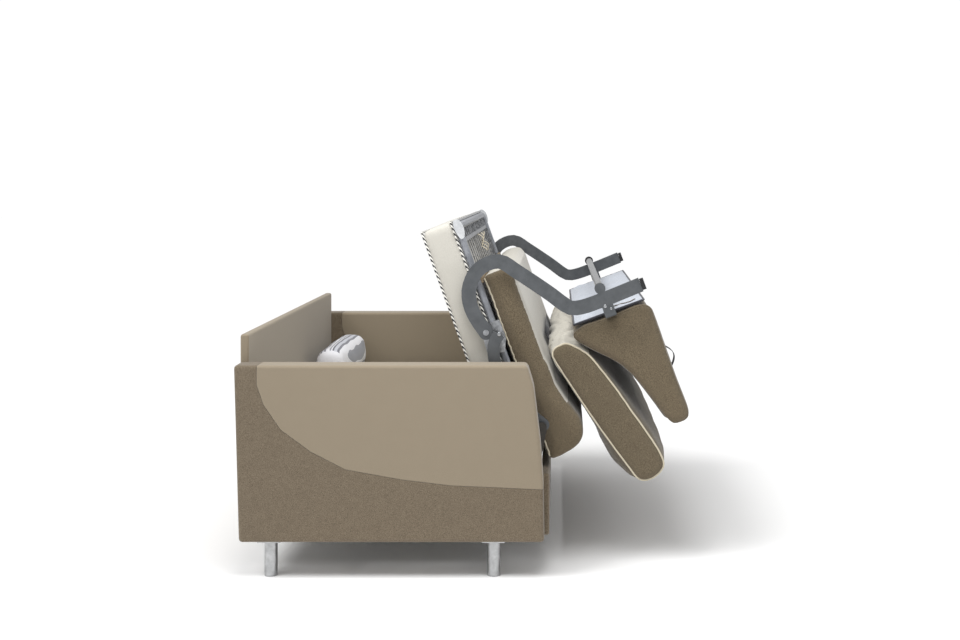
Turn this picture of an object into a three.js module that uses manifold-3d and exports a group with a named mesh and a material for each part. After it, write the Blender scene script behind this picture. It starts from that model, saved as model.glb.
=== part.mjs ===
// A sofa bed caught half way through opening.
// Two upholstered arms, a rear panel and a front fascia make the body.
// The seat turns forward over the fascia: its underside is a sprung net with a mattress,
// the seat block and the loose seat cushion ride on top of it, and two bent steel bars carry
// the backrest, which becomes the foot of the bed. A second mattress section rises on links.
// Millimetres. +X is the sofa's front, +Z is up, and the sides lie along Y.
import * as THREE from 'three';
import { mergeVertices } from 'three/addons/utils/BufferGeometryUtils.js';
import Module from 'manifold-3d';

const wasm = await Module();
wasm.setup();

// Driving dimensions of the body
const sofaWidth = 1720;
const armThickness = 90;
const armDepth = 998;
const armBottom = 118;
const armTop = 686;
const armEdgeRadius = 13;
const edgeShare = 0.8;
const seamGap = 0.3;
const fit = 0.3;
const rearPanelThickness = 28;
const rearPanelTop = 775;
const rearPanelBottom = 150;
const fasciaThickness = 26;
const fasciaTop = 320;
const fasciaFront = 1012;
const fasciaOverlap = 3.6;
const legDiameter = 42;
const legInset = 52;
const legRearX = 110;
const legFrontX = 832;
const legPlate = 74;
const legPlateThickness = 4;

// Fixed steelwork
const beamHeight = 34;
const beamDepth = 46;
const plateThickness = 6;
const laneGap = 8;
const pivotX = 992;
const pivotHeight = 475.5;
const pivotPinDiameter = 16;
const plateEyeRadius = 12;
const plateFoot = 200;
const overrun = 20;

// Head section of the bed
const headLinkLength = 254;
const headLinkRestAngle = 169.06;
const headLinkWidth = 30;
const headLinkThickness = 6;
const headLinkSpread = 400;
const headPivotRearX = 387.3;
const headPivotHeight = 283.8;
const headLength = 718;
const headRear = 67;
const earThickness = 5;
const cornerShare = 0.9;
const linkPinDiameter = 12;

// Bed sections
const mechanismSpace = 65;
const bedWidth = sofaWidth - 2 * armThickness - 2 * mechanismSpace;
const sideEase = 3;
const mattressThickness = 112;
const mattressEdgeRadius = 12;
const mattressCornerRadius = 20;
const mattressCrown = 4;
const frameTube = 25;
const frameSetback = 11.5;
const frameCornerRadius = 45;
const netWire = 5;
const netThickness = 4;
const netBand = 14;
const springLength = 34;
const springDiameter = 7;
const springCount = 16;

// Folding part: its own axes run along the bed (a) and away from the mattress face (h)
const foldOriginX = 581.1;
const foldOriginHeight = 1106.9;
const foldAngle = 70.06;
const foldMattressLength = 724;
const swingArmWidth = 40;
const swingArmThickness = 8;
const blockWidth = bedWidth - 3 * sideEase;
const blockRear = 205;
const blockLength = 663;
const blockBottom = 143;
const blockHeight = 146;
const blockEdgeRadius = 12;
const retainerDiameter = 10;

// Seat cushion, in axes along its own underside
const cushionRear = 517;
const cushionLift = 255.6;
const cushionAngle = 15.2;
const cushionLength = 561;
const cushionThickness = 128;
const cushionWidth = bedWidth - 4 * sideEase;
const cushionEdgeRadius = 16;
const webbingWidth = bedWidth * 0.44;
const webbingLength = 60;
const webbingThickness = 6.4;
const webbingRise = 4.3;

// Backrest and its bars
const barWidth = 48;
const barThickness = 8;
const backPivotA = 386;
const backPivotH = 96;
const backWidth = bedWidth - 2 * sideEase;
const backRear = 475;
const backLength = 424;
const backBottom = 352;
const backHeight = 288;
const backEdgeRadius = 14;
const footPadLength = 13;
const footPadDepth = 38;
const footStart = 630;
const crossTubeDiameter = 25;
const crossTubeA = 378;
const crossTubeH = 499;
const bushLength = 16;
const bushDiameter = 36;
const clothThickness = 16;
const pullStrapWidth = 46;
const pullStrapThickness = 3;

// Pillow kept behind the folded seat
const pillowWidth = 132;
const pillowHeight = 152;
const pillowLength = bedWidth * 0.4;
const pillowStart = bedWidth * 0.09;

// Places worked out from the driving dimensions
const innerFace = sofaWidth / 2 - armThickness;
const plateY = innerFace - fit - plateThickness / 2;
const swingLane = plateY - plateThickness / 2 - laneGap - swingArmThickness / 2;
const barLane = swingLane - swingArmThickness / 2 - laneGap - barThickness / 2;
const barInnerFace = barLane - barThickness / 2;
const frameY = bedWidth / 2 - frameSetback;
const tubeFlat = frameTube / 2 * Math.cos(Math.PI / 8);
const frameH = mattressThickness + fit + tubeFlat;
const beamTop = armBottom + beamHeight;
const headEarY = bedWidth / 2 + fit + earThickness / 2;
const headLinkY = headEarY + (earThickness + headLinkThickness) / 2 + fit;
const groundEarY = headLinkY + (earThickness + headLinkThickness) / 2 + fit;
const foldRadians = THREE.MathUtils.degToRad(foldAngle);

const colours = {
  taupeFabric: { color: 0x8a7c6a, roughness: 0.95, metalness: 0 },
  lightFabric: { color: 0xb3a590, roughness: 0.85, metalness: 0 },
  brownFabric: { color: 0x85755f, roughness: 0.95, metalness: 0 },
  creamCloth: { color: 0xe4dfd2, roughness: 0.9, metalness: 0 },
  dustCloth: { color: 0xb9bcc6, roughness: 0.9, metalness: 0 },
  stripeCloth: { color: 0xc4c6cc, roughness: 0.8, metalness: 0 },
  strapCloth: { color: 0xcabfa6, roughness: 0.9, metalness: 0 },
  darkWebbing: { color: 0x3c3a38, roughness: 0.9, metalness: 0 },
  barPaint: { color: 0x5c6168, roughness: 0.45, metalness: 0.3 },
  tubePaint: { color: 0x8e9094, roughness: 0.4, metalness: 0.5 },
  steel: { color: 0xb6b8ba, roughness: 0.35, metalness: 0.9 },
  chrome: { color: 0xd2d4d6, roughness: 0.2, metalness: 1 },
  rubber: { color: 0x1c1c1d, roughness: 0.8, metalness: 0 },
  whitePlastic: { color: 0xdcdcd8, roughness: 0.5, metalness: 0 },
  timber: { color: 0xc2a47a, roughness: 0.7, metalness: 0 },
};

const sofa = new THREE.Group();
const fold = new THREE.Group();
fold.position.set(foldOriginX, 0, foldOriginHeight);
fold.rotation.y = foldRadians;
sofa.add(fold);

function addPiece(parent, name, geometry, finish, x = 0, y = 0, z = 0) {
  const mesh = new THREE.Mesh(geometry, new THREE.MeshStandardMaterial(colours[finish]));
  mesh.name = name;
  mesh.position.set(x, y, z);
  parent.add(mesh);
  return mesh;
}

// Right is the sofa's own right hand, at -Y
const sides = [['right', -1], ['left', 1]];

function solidOf(geometry) {
  const bare = geometry.clone();
  bare.deleteAttribute('normal');
  bare.deleteAttribute('uv');
  const merged = mergeVertices(bare);
  return new wasm.Manifold(new wasm.Mesh({
    numProp: 3,
    vertProperties: new Float32Array(merged.attributes.position.array),
    triVerts: new Uint32Array(merged.index.array),
  }));
}

function geometryOf(solid) {
  const mesh = solid.getMesh();
  const geometry = new THREE.BufferGeometry();
  geometry.setAttribute('position', new THREE.BufferAttribute(new Float32Array(mesh.vertProperties), 3));
  geometry.setIndex(new THREE.BufferAttribute(new Uint32Array(mesh.triVerts), 1));
  geometry.computeVertexNormals();
  return geometry;
}

function joined(geometries) {
  return geometryOf(geometries.map(solidOf).reduce((a, b) => a.add(b)));
}

// Outline points are [along, up]; the plate is centred on y = 0
function plateFromShape(shape, thickness, curveSegments = 6) {
  const geometry = new THREE.ExtrudeGeometry(shape, {
    depth: thickness, bevelEnabled: false, curveSegments,
  });
  geometry.translate(0, 0, -thickness / 2);
  geometry.rotateX(Math.PI / 2);
  return geometry;
}

function shapeOf(points) {
  return new THREE.Shape(points.map(([x, z]) => new THREE.Vector2(x, z)));
}

function scaledPoints(shares, x, z, length, height) {
  return shares.map(([s, t]) => [x + s * length, z + t * height]);
}

function smoothClosed(points, count, tension = 0.5) {
  const curve = new THREE.CatmullRomCurve3(
    points.map(([x, z]) => new THREE.Vector3(x, 0, z)), true, 'catmullrom', tension);
  return curve.getSpacedPoints(count).slice(0, count).map((p) => [p.x, p.z]);
}

// A flat bar of even width along a smooth centre line
function ribbonShape(centre, width, count) {
  const curve = new THREE.CatmullRomCurve3(
    centre.map(([x, z]) => new THREE.Vector3(x, 0, z)), false, 'centripetal');
  const upper = [];
  const lower = [];
  for (let i = 0; i <= count; i += 1) {
    const p = curve.getPointAt(i / count);
    const t = curve.getTangentAt(i / count);
    upper.push([p.x - t.z * width / 2, p.z + t.x * width / 2]);
    lower.push([p.x + t.z * width / 2, p.z - t.x * width / 2]);
  }
  return shapeOf(lower.concat(upper.reverse()));
}

function rod(diameter, length, facets = 16) {
  return new THREE.CylinderGeometry(diameter / 2, diameter / 2, length, facets);
}

function uprightRod(diameter, length, facets = 20) {
  const geometry = rod(diameter, length, facets);
  geometry.rotateX(Math.PI / 2);
  return geometry;
}

function block(length, width, height) {
  return new THREE.BoxGeometry(length, width, height);
}

function outwardNormals(points) {
  return points.map(([x, z], i) => {
    const [px, pz] = points[(i + points.length - 1) % points.length];
    const [nx, nz] = points[(i + 1) % points.length];
    const length = Math.hypot(nx - px, nz - pz) || 1;
    return [(nz - pz) / length, -(nx - px) / length];
  });
}

// A padded form: an outline carried across the width, rounded at both ends,
// with a crown half way and sides drawn in towards the corners
function paddedForm(points, width, radius, crown, bellyShares = [0.12, 0.3, 0.5]) {
  const outline = THREE.ShapeUtils.area(points.map(([x, z]) => new THREE.Vector2(x, z))) > 0
    ? points : points.slice().reverse();
  const normals = outwardNormals(outline);
  const half = width / 2;
  const edgeSteps = 3;
  const near = [];
  for (let i = 0; i <= edgeSteps; i += 1) {
    const angle = (Math.PI / 2) * (i / edgeSteps);
    near.push([-half + radius * (1 - Math.cos(angle)), radius * (1 - Math.sin(angle))]);
  }
  bellyShares.forEach((share) => near.push([-half + share * width, 0]));
  const far = near.slice(0, -1).reverse().map(([y, inset]) => [-y, inset]);
  const rows = near.concat(far);
  const n = outline.length;
  const positions = [];
  rows.forEach(([y, inset]) => {
    const grow = -crown * (y / half) ** 2 - inset;
    outline.forEach(([x, z], i) => {
      positions.push(x + normals[i][0] * grow, y, z + normals[i][1] * grow);
    });
  });
  const index = [];
  for (let j = 0; j < rows.length - 1; j += 1) {
    for (let i = 0; i < n; i += 1) {
      const a = j * n + i;
      const b = j * n + ((i + 1) % n);
      index.push(a, a + n, b, b, a + n, b + n);
    }
  }
  const last = (rows.length - 1) * n;
  const flat = outline.map(([x, z]) => new THREE.Vector2(x, z));
  THREE.ShapeUtils.triangulateShape(flat, []).forEach(([a, b, c]) => {
    index.push(a, b, c);
    index.push(last + c, last + b, last + a);
  });
  const geometry = new THREE.BufferGeometry();
  geometry.setAttribute('position', new THREE.Float32BufferAttribute(positions, 3));
  geometry.setIndex(index);
  geometry.computeVertexNormals();
  return geometry;
}

// Corners of a closed outline cut to quarter rounds
function roundedPoints(points, radius, steps = 3) {
  const out = [];
  points.forEach((corner, i) => {
    const before = new THREE.Vector2(...points[(i + points.length - 1) % points.length]);
    const here = new THREE.Vector2(...corner);
    const after = new THREE.Vector2(...points[(i + 1) % points.length]);
    const r = Math.min(radius, before.distanceTo(here) / 2, after.distanceTo(here) / 2);
    const start = here.clone().add(before.clone().sub(here).setLength(r));
    const end = here.clone().add(after.clone().sub(here).setLength(r));
    const curve = new THREE.QuadraticBezierCurve(start, here, end);
    curve.getPoints(steps).forEach((p) => out.push([p.x, p.y]));
  });
  return out.filter(([x, z], i) => {
    const [px, pz] = out[(i + 1) % out.length];
    return Math.hypot(x - px, z - pz) > seamGap / 2;
  });
}

// Arms: one padded panel each, with a light inlay let into both faces
const armOutlineShares = [[0.016, 0], [0.998, 0], [0.995, 0.34], [0.986, 0.56], [0.964, 0.88],
  [0.943, 1], [0, 1]];
const inlayShares = [[0.076, 1.04], [0.074, 0.965], [0.074, 0.89], [0.096, 0.778], [0.151, 0.637],
  [0.247, 0.513], [0.359, 0.412], [0.536, 0.356], [0.696, 0.322], [0.984, 0.299], [1.06, 0.296]];

function makeArms() {
  const height = armTop - armBottom;
  const outline = roundedPoints(scaledPoints(armOutlineShares, 0, armBottom, armDepth, height),
    armEdgeRadius);
  const whole = solidOf(paddedForm(outline, armThickness, armEdgeRadius * edgeShare, 0, [0.5]));
  const seam = scaledPoints(inlayShares, 0, armBottom, armDepth, height);
  const above = (lift) => {
    const line = seam.map(([x, z]) => [x + lift, z + lift]);
    line.push([armDepth + overrun * 3, armTop + overrun * 3], [line[0][0], armTop + overrun * 3]);
    return solidOf(plateFromShape(shapeOf(line), armThickness + overrun));
  };
  const inlay = geometryOf(whole.intersect(above(seamGap)));
  const cover = geometryOf(whole.subtract(above(0)));
  sides.forEach(([side, sign]) => {
    const y = sign * (sofaWidth / 2 - armThickness / 2);
    addPiece(sofa, `arm_cover_${side}`, cover, 'taupeFabric', 0, y);
    addPiece(sofa, `arm_inlay_${side}`, inlay, 'lightFabric', 0, y);
  });
}

function makeBody() {
  const between = 2 * (innerFace - fit);
  const rear = roundedPoints([[0, rearPanelBottom], [rearPanelThickness, rearPanelBottom],
    [rearPanelThickness, rearPanelTop], [0, rearPanelTop]], rearPanelThickness / 3);
  addPiece(sofa, 'rear_panel', paddedForm(rear, between, armEdgeRadius / 2, 0, [0.5]), 'lightFabric');
  const front = roundedPoints([[fasciaFront - fasciaThickness, armBottom],
    [fasciaFront, armBottom], [fasciaFront, fasciaTop], [fasciaFront - fasciaThickness, fasciaTop]],
  fasciaThickness / 3);
  addPiece(sofa, 'front_fascia', paddedForm(front, between + fasciaOverlap, armEdgeRadius / 2, 0, [0.5]),
    'taupeFabric');
}

function makeLegs() {
  const legLength = armBottom - fit - legPlateThickness;
  [['rear', legRearX], ['front', legFrontX]].forEach(([end, x]) => {
    sides.forEach(([side, sign]) => {
      const post = uprightRod(legDiameter, legLength, 28);
      post.translate(0, 0, legLength / 2);
      const plate = block(legPlate, legPlate, legPlateThickness);
      plate.translate(0, 0, legLength + legPlateThickness / 2);
      addPiece(sofa, `leg_${end}_${side}`, joined([post, plate]), 'chrome',
        x, sign * (sofaWidth / 2 - legInset));
    });
  });
}

// Cross beams low in the body, with upright ears for the head section's links
const beamPlaces = [['rear', headPivotRearX], ['front', headPivotRearX + headLinkSpread]];

function earForm(height, below) {
  const half = headLinkWidth / 2;
  const outline = roundedPoints([[-half, -below], [half, -below], [half, height], [-half, height]],
    half * cornerShare, 3);
  return plateFromShape(shapeOf(outline), earThickness);
}

function pinHole(diameter, depth) {
  return solidOf(rod(diameter + 2 * fit, depth + overrun));
}

function makeBeams() {
  const span = 2 * (innerFace - fit);
  const lift = headPivotHeight - beamTop;
  beamPlaces.forEach(([end, x]) => {
    const beam = block(beamDepth, span, beamHeight);
    beam.translate(0, 0, -lift - beamHeight / 2);
    let whole = solidOf(beam);
    sides.forEach(([, sign]) => {
      const ear = earForm(headLinkWidth / 2, lift + beamHeight / 2);
      const hole = pinHole(linkPinDiameter, earThickness);
      const drilled = solidOf(ear).subtract(hole);
      whole = whole.add(drilled.translate([0, sign * groundEarY, 0]));
    });
    addPiece(sofa, `cross_beam_${end}`, geometryOf(whole), 'tubePaint', x, 0, headPivotHeight);
  });
}

// Mechanism plates screwed to the arms' inner faces, and the main pivot pins
const plateShares = [[0, 0], [0.77, 0], [0.985, 0.86], [1, 0.92], [0.99, 0.975], [0.95, 1],
  [0.86, 0.985], [0, 0.42]];
const plateLength = 230;

function makePlates() {
  const x = pivotX + plateEyeRadius - plateLength;
  const height = pivotHeight + plateEyeRadius - plateFoot;
  const outline = roundedPoints(scaledPoints(plateShares, x, plateFoot, plateLength, height),
    plateEyeRadius / 2);
  const plate = plateFromShape(shapeOf(outline), plateThickness);
  const headThickness = plateThickness / 2;
  const shaftLength = laneGap + swingArmThickness;
  sides.forEach(([side, sign]) => {
    addPiece(sofa, `mechanism_plate_${side}`, plate, 'steel', 0, sign * plateY);
    const shaft = rod(pivotPinDiameter, shaftLength + headThickness);
    shaft.translate(0, -sign * headThickness / 2, 0);
    const head = rod(pivotPinDiameter + plateThickness, headThickness);
    head.translate(0, -sign * (shaftLength + headThickness) / 2, 0);
    const y = plateY - plateThickness / 2 - fit - shaftLength / 2;
    addPiece(sofa, `pivot_pin_${side}`, joined([shaft, head]), 'steel', pivotX, sign * y, pivotHeight);
  });
}

// A closed round tube bent to a rectangle with rounded corners
function tubeRing(length, width, radius, diameter, facets = 8) {
  const path = [];
  const cornerSteps = 4;
  const corners = [[1, 1, 0], [-1, 1, 1], [-1, -1, 2], [1, -1, 3]];
  corners.forEach(([sx, sy, quarter]) => {
    for (let i = 0; i <= cornerSteps; i += 1) {
      const angle = (Math.PI / 2) * (quarter + i / cornerSteps);
      path.push(new THREE.Vector3(sx * (length / 2 - radius) + radius * Math.cos(angle),
        sy * (width / 2 - radius) + radius * Math.sin(angle), 0));
    }
  });
  const positions = [];
  path.forEach((p, i) => {
    const next = path[(i + 1) % path.length];
    const before = path[(i + path.length - 1) % path.length];
    const along = next.clone().sub(before).normalize();
    const outward = new THREE.Vector3(along.y, -along.x, 0);
    for (let k = 0; k < facets; k += 1) {
      const angle = 2 * Math.PI * (k + 0.5) / facets;
      positions.push(p.x + outward.x * Math.cos(angle) * diameter / 2,
        p.y + outward.y * Math.cos(angle) * diameter / 2, Math.sin(angle) * diameter / 2);
    }
  });
  const index = [];
  for (let i = 0; i < path.length; i += 1) {
    const j = (i + 1) % path.length;
    for (let k = 0; k < facets; k += 1) {
      const m = (k + 1) % facets;
      index.push(i * facets + k, j * facets + k, i * facets + m);
      index.push(j * facets + k, j * facets + m, i * facets + m);
    }
  }
  const geometry = new THREE.BufferGeometry();
  geometry.setAttribute('position', new THREE.Float32BufferAttribute(positions, 3));
  geometry.setIndex(index);
  geometry.computeVertexNormals();
  return geometry;
}

// A flat net with square gaps, centred, lying in the plane of the frame
function netPanel(length, width, columns, rows) {
  const lines = (span, count) => {
    const pitch = (span - 2 * netBand + netWire) / count;
    const at = [-span / 2];
    for (let i = 0; i < count; i += 1) {
      at.push(netBand - span / 2 + i * pitch, netBand - span / 2 + (i + 1) * pitch - netWire);
    }
    at.push(span / 2);
    return at;
  };
  const xs = lines(length, columns);
  const ys = lines(width, rows);
  const positions = [];
  [-netThickness / 2, netThickness / 2].forEach((z) => {
    ys.forEach((y) => xs.forEach((x) => positions.push(x, y, z)));
  });
  const at = (i, j, level) => (level * ys.length + j) * xs.length + i;
  const solid = (i, j) => i >= 0 && j >= 0 && i < xs.length - 1 && j < ys.length - 1
    && !(i % 2 === 1 && j % 2 === 1);
  const index = [];
  const quad = (a, b, c, d) => index.push(a, b, c, a, c, d);
  for (let j = 0; j < ys.length - 1; j += 1) {
    for (let i = 0; i < xs.length - 1; i += 1) {
      if (solid(i, j)) {
        quad(at(i, j, 1), at(i + 1, j, 1), at(i + 1, j + 1, 1), at(i, j + 1, 1));
        quad(at(i, j, 0), at(i, j + 1, 0), at(i + 1, j + 1, 0), at(i + 1, j, 0));
        if (!solid(i, j - 1)) quad(at(i, j, 0), at(i + 1, j, 0), at(i + 1, j, 1), at(i, j, 1));
        if (!solid(i, j + 1)) {
          quad(at(i + 1, j + 1, 0), at(i, j + 1, 0), at(i, j + 1, 1), at(i + 1, j + 1, 1));
        }
        if (!solid(i - 1, j)) quad(at(i, j + 1, 0), at(i, j, 0), at(i, j, 1), at(i, j + 1, 1));
        if (!solid(i + 1, j)) {
          quad(at(i + 1, j, 0), at(i + 1, j + 1, 0), at(i + 1, j + 1, 1), at(i + 1, j, 1));
        }
      }
    }
  }
  const geometry = new THREE.BufferGeometry();
  geometry.setAttribute('position', new THREE.Float32BufferAttribute(positions, 3));
  geometry.setIndex(index);
  geometry.computeVertexNormals();
  return geometry;
}


// One bed section: tube frame, net, and the springs between the net and its rear rail.
// `up` is 1 where the mattress lies under the net and -1 where it lies on top.
function makeSpringBase(parent, prefix, length, columns, rows, up) {
  const frameLength = length - 2 * frameSetback;
  const netLength = frameLength - frameTube - 2 * tubeFlat - springLength - fit;
  const netWidth = 2 * (frameY - tubeFlat - fit);
  const inside = frameSetback + frameTube / 2 + tubeFlat;
  const ring = (tube) => tubeRing(frameLength - frameTube, 2 * frameY, frameCornerRadius, tube);
  addPiece(parent, `${prefix}_frame`, ring(frameTube), 'tubePaint', length / 2, 0, up * frameH);
  const pitch = (netWidth - 2 * frameCornerRadius) / (springCount - 1);
  const springs = Array.from({ length: springCount }, (_, i) => {
    const coil = rod(springDiameter, springLength, 6);
    coil.rotateZ(Math.PI / 2);
    coil.translate(-(netLength + springLength) / 2 + netWire / 2,
      i * pitch - netWidth / 2 + frameCornerRadius, 0);
    return coil;
  });
  const netX = inside + springLength + netLength / 2;
  const room = ring(frameTube + 2 * fit);
  room.translate(length / 2 - netX, 0, 0);
  const sheet = [netPanel(netLength, netWidth, columns, rows), ...springs].map(solidOf)
    .reduce((a, b) => a.add(b));
  addPiece(parent, `${prefix}_net`, geometryOf(sheet.subtract(solidOf(room))), 'steel', netX, 0,
    up * frameH);
}

function mattressForm(length, base) {
  const slab = roundedPoints([[0, base], [length, base], [length, base + mattressThickness],
    [0, base + mattressThickness]], mattressCornerRadius);
  return paddedForm(slab, bedWidth, mattressEdgeRadius, mattressCrown);
}

// The head section lies level on four links that swing up and forward
const restAngle = THREE.MathUtils.degToRad(headLinkRestAngle);
const linkReach = headLinkLength * Math.cos(restAngle);
const linkRise = headLinkLength * Math.sin(restAngle);
const hangerHeight = headPivotHeight + linkRise;
const headTop = hangerHeight + frameH;

function makeHead() {
  const section = new THREE.Group();
  section.position.set(headRear, 0, headTop);
  sofa.add(section);
  makeSpringBase(section, 'head', headLength, 4, 9, -1);
  addPiece(section, 'head_mattress', mattressForm(headLength, -mattressThickness), 'creamCloth');
  beamPlaces.forEach(([end, x]) => {
    sides.forEach(([side, sign]) => {
      const ear = solidOf(earForm(headLinkWidth / 2, headLinkWidth / 2));
      const drilled = end === 'rear' ? ear.subtract(pinHole(linkPinDiameter, earThickness)) : ear;
      addPiece(sofa, `head_ear_${end}_${side}`, geometryOf(drilled), 'steel', x + linkReach,
        sign * headEarY, hangerHeight);
    });
  });
}

// Each link turns on a pin in a beam ear; the rear pair also pins the head section's ears
function makeLinks() {
  const half = headLinkWidth / 2;
  const headHeight = earThickness / 2;
  const shaftLength = earThickness + headLinkThickness + 2 * fit + headHeight;
  const outline = roundedPoints([[-half, -half], [headLinkLength + half, -half],
    [headLinkLength + half, half], [-half, half]], half * cornerShare, 5);
  beamPlaces.forEach(([end, x]) => {
    sides.forEach(([side, sign]) => {
      const plate = plateFromShape(shapeOf(outline), headLinkThickness);
      const bore = pinHole(linkPinDiameter, headLinkThickness);
      const upperBore = pinHole(linkPinDiameter, headLinkThickness).translate([headLinkLength, 0, 0]);
      let link = solidOf(plate).subtract(bore);
      if (end === 'rear') link = link.subtract(upperBore);
      const form = geometryOf(link);
      form.rotateY(-restAngle);
      addPiece(sofa, `head_link_${end}_${side}`, form, 'steel', x, sign * headLinkY,
        headPivotHeight);
      const shaft = rod(linkPinDiameter, shaftLength);
      const head = rod(linkPinDiameter + earThickness, headHeight);
      head.translate(0, sign * shaftLength / 2, 0);
      const y = headLinkY - headLinkThickness / 2 + shaftLength / 2;
      const pin = joined([shaft, head]);
      addPiece(sofa, `link_pin_${end}_${side}`, pin, 'steel', x, sign * y, headPivotHeight);
      if (end === 'rear') {
        const upperLength = shaftLength - headHeight - fit;
        const upper = rod(linkPinDiameter, upperLength);
        addPiece(sofa, `head_pin_${side}`, upper, 'steel', x + linkReach,
          sign * (headLinkY + headLinkThickness / 2 - upperLength / 2), hangerHeight);
      }
    });
  });
}

// Seat block with its raised front nose
const blockShares = [[0.006, 0], [0.985, 0], [1, 0.06], [1, 0.25], [0.985, 0.6], [0.968, 0.795],
  [0.94, 0.93], [0.9, 1], [0.842, 1], [0.74, 0.85], [0.64, 0.74], [0.54, 0.735], [0.5, 0.7],
  [0.06, 0.7], [0.02, 0.66], [0, 0.548]];
const swingArmShares = [[0, 0.56], [0.06, 0.26], [0.19, 0.04], [0.42, 0], [0.7, 0.28], [1, 1]];
const swingArmStart = 404;
const swingArmDip = 92;

function makeFoldingBed() {
  makeSpringBase(fold, 'seat', foldMattressLength, 5, 15, 1);
  addPiece(fold, 'seat_mattress', mattressForm(foldMattressLength, 0), 'creamCloth');
  const seat = scaledPoints(blockShares, blockRear, blockBottom, blockLength, blockHeight);
  addPiece(fold, 'seat_block', paddedForm(seat, blockWidth, blockEdgeRadius, 3), 'brownFabric');
  const bearer = block(frameTube, 2 * frameY, blockBottom - frameH - tubeFlat - 2 * fit);
  [['rear', 0.3], ['front', 0.93]].forEach(([end, share]) => {
    addPiece(fold, `seat_bearer_${end}`, bearer, 'timber', foldMattressLength * share, 0,
      (blockBottom + frameH + tubeFlat) / 2);
  });
  const retainer = rod(retainerDiameter, bedWidth - 2 * capRadius, 10);
  addPiece(fold, 'mattress_retainer', retainer, 'chrome', retainerA, 0, retainerH);
  sides.forEach(([side, sign]) => {
    const cap = plateFromShape(shapeOf(smoothClosed(scaledPoints(capShares, 0, mattressThickness + fit,
      capLength, capHeight), 18)), capThickness);
    addPiece(fold, `frame_end_cap_${side}`, cap, 'whitePlastic', 0,
      sign * (frameY + tubeFlat + fit + capThickness / 2));
    makeFoldSide(side, sign);
  });
}

const capShares = [[0.1, 0.1], [0.5, 0], [1, 0.3], [0.95, 0.75], [0.6, 1], [0.2, 0.9], [0, 0.5]];
const capLength = 68;
const capHeight = 30;
const capThickness = 10.5;
const capRadius = 6;
const retainerA = 7.4;
const retainerH = 119;

// Bracket, hinge stud and swing arm on one side of the folding bed
const bracketShares = [[0, 0.1], [0.9, 0], [1, 0.75], [0.6, 1], [0, 1]];
const bracketA = 362;
const bracketLength = 108;
const bracketH = 74;
const bracketHeight = 76;
const bracketThickness = 6;
const studDiameter = 12;
const armBoltA = 404;
const armBoltH = 136;

function makeFoldSide(side, sign) {
  const fold0 = bedWidth / 2 + fit;
  const bracketY = fold0 + bracketThickness / 2;
  const bracket = plateFromShape(shapeOf(roundedPoints(scaledPoints(bracketShares, bracketA,
    bracketH, bracketLength, bracketHeight), bracketThickness)), bracketThickness);
  const foot = block(bracketLength * 0.6, fold0 - frameY - tubeFlat + bracketThickness / 2,
    bracketThickness);
  foot.translate(bracketA + bracketLength / 2, -sign * (fold0 - frameY - tubeFlat) / 2,
    frameH);
  const hole = pinHole(studDiameter, bracketThickness);
  const plate = solidOf(bracket).subtract(hole.translate([backPivotA, 0, backPivotH]));
  const boltLength = swingLane - swingArmThickness / 2 - fit - fold0 - bracketThickness;
  const bolt = rod(studDiameter, boltLength + bracketThickness);
  bolt.translate(armBoltA, sign * boltLength / 2, armBoltH);
  const whole = [foot, bolt].map(solidOf).reduce((p, q) => p.add(q), plate);
  addPiece(fold, `fold_bracket_${side}`, geometryOf(whole), 'steel', 0, sign * bracketY);
  const studLength = barLane + barThickness / 2 + fit - fold0;
  const stud = rod(studDiameter, studLength);
  const cap = rod(studDiameter * 1.6, fit * 8);
  cap.translate(0, sign * (studLength / 2 + fit * 4), 0);
  addPiece(fold, `back_stud_${side}`, joined([stud, cap]), 'steel', backPivotA,
    sign * (fold0 + studLength / 2), backPivotH);
  const [pivotA, pivotH] = foldPlace(pivotX, pivotHeight);
  const centre = scaledPoints(swingArmShares, swingArmStart, swingArmDip, pivotA - swingArmStart,
    pivotH - swingArmDip);
  const arm = solidOf(plateFromShape(ribbonShape(centre, swingArmWidth, 26), swingArmThickness));
  const eye = rod(swingArmWidth, swingArmThickness, 24);
  eye.translate(pivotA, 0, pivotH);
  const bore = pinHole(pivotPinDiameter, swingArmThickness).translate([pivotA, 0, pivotH]);
  addPiece(fold, `swing_arm_${side}`, geometryOf(arm.add(solidOf(eye)).subtract(bore)),
    'barPaint', 0, sign * swingLane);
}

// A place in the body's axes, given in the folding part's axes
function foldPlace(x, z) {
  const dx = x - foldOriginX;
  const dz = z - foldOriginHeight;
  return [dx * Math.cos(foldRadians) - dz * Math.sin(foldRadians),
    dx * Math.sin(foldRadians) + dz * Math.cos(foldRadians)];
}

// Straps left crumpled on the net
const strapA = 120;
const strapLength = 78;
const strapHeight = 26;
const strapWidth = 120;
const strapY = 20;

function makeStraps() {
  const lift = frameH + netThickness / 2 + fit;
  const loops = roundedPoints([[strapA - strapLength / 2, lift], [strapA + strapLength / 2, lift],
    [strapA + strapLength * 0.35, lift + strapHeight * 0.8], [strapA, lift + strapHeight],
    [strapA - strapLength * 0.4, lift + strapHeight * 0.6]], strapHeight / 4);
  addPiece(fold, 'mattress_straps', paddedForm(loops, strapWidth, strapHeight / 7, 0, [0.5]),
    'strapCloth', 0, strapY);
}

// Seat cushion, boxed between two piped edges
const cushionShares = [[0.03, 0], [0.18, -0.03], [0.4, -0.05], [0.62, -0.05], [0.86, -0.01],
  [0.955, 0.02], [0.995, 0.25], [1, 0.56], [0.985, 0.8], [0.94, 0.93], [0.8, 1], [0.6, 1.02],
  [0.41, 1.01], [0.25, 0.98], [0.146, 0.9], [0.045, 0.7], [0.005, 0.5], [0, 0.18]];

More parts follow.
